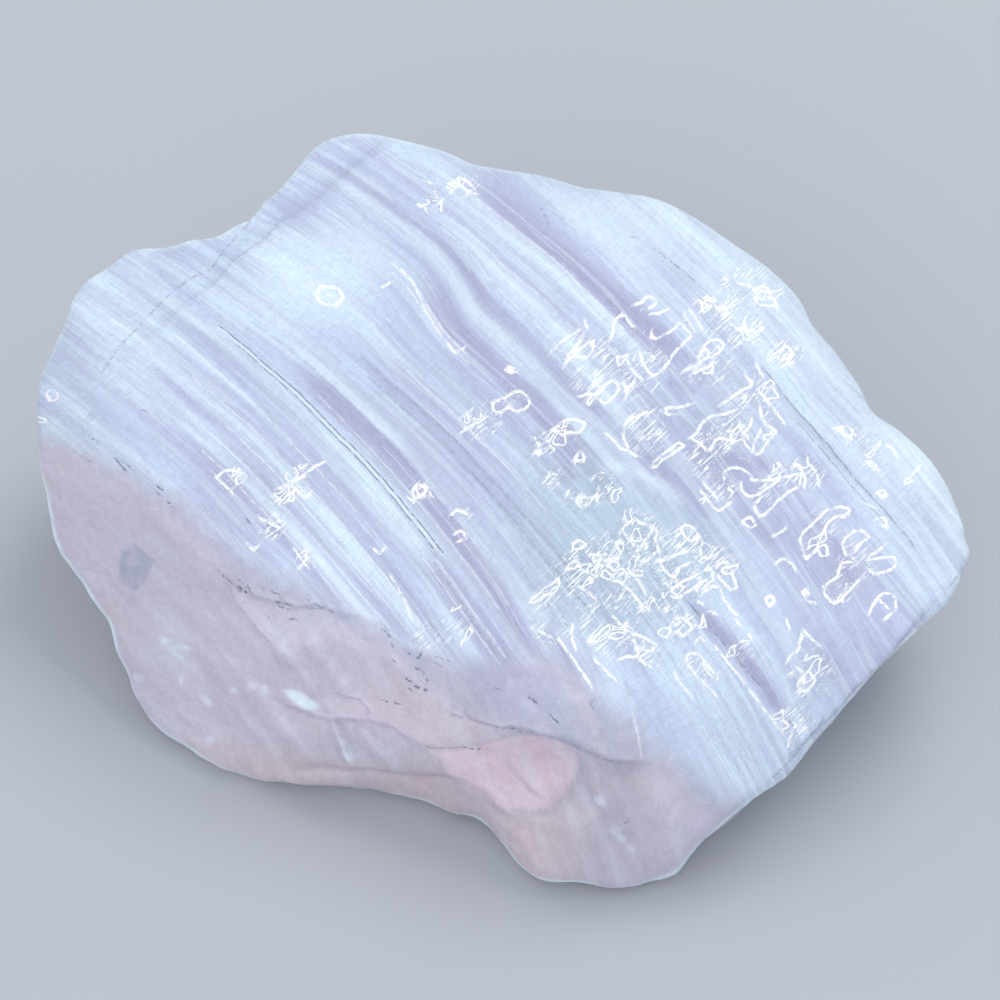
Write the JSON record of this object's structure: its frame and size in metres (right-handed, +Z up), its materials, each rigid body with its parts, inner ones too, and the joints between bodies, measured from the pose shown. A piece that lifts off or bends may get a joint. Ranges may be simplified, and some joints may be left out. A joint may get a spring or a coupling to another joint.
{
  "type": "calcite specimen",
  "caption": "Rough hand-sized chunk of banded lavender and pale pink calcite with a flat fibrous top break, smooth shell-like sides and a flat land underneath to rest on.",
  "frame": {"origin": "on the table, under the middle of the stone's overall box", "axes": "+Z up, +X to the right and -Y to the front, where the pale pink breaks are and the banded top leans"},
  "size_m": [0.095, 0.0782, 0.0329],
  "materials": {
    "calcite": "milky, slightly translucent calcite: satin on the banded break, waxy and smoother on the pale pink breaks"
  },
  "bodies": {
    "root": {"calcite": "calcite"}
  },
  "joints": []
}
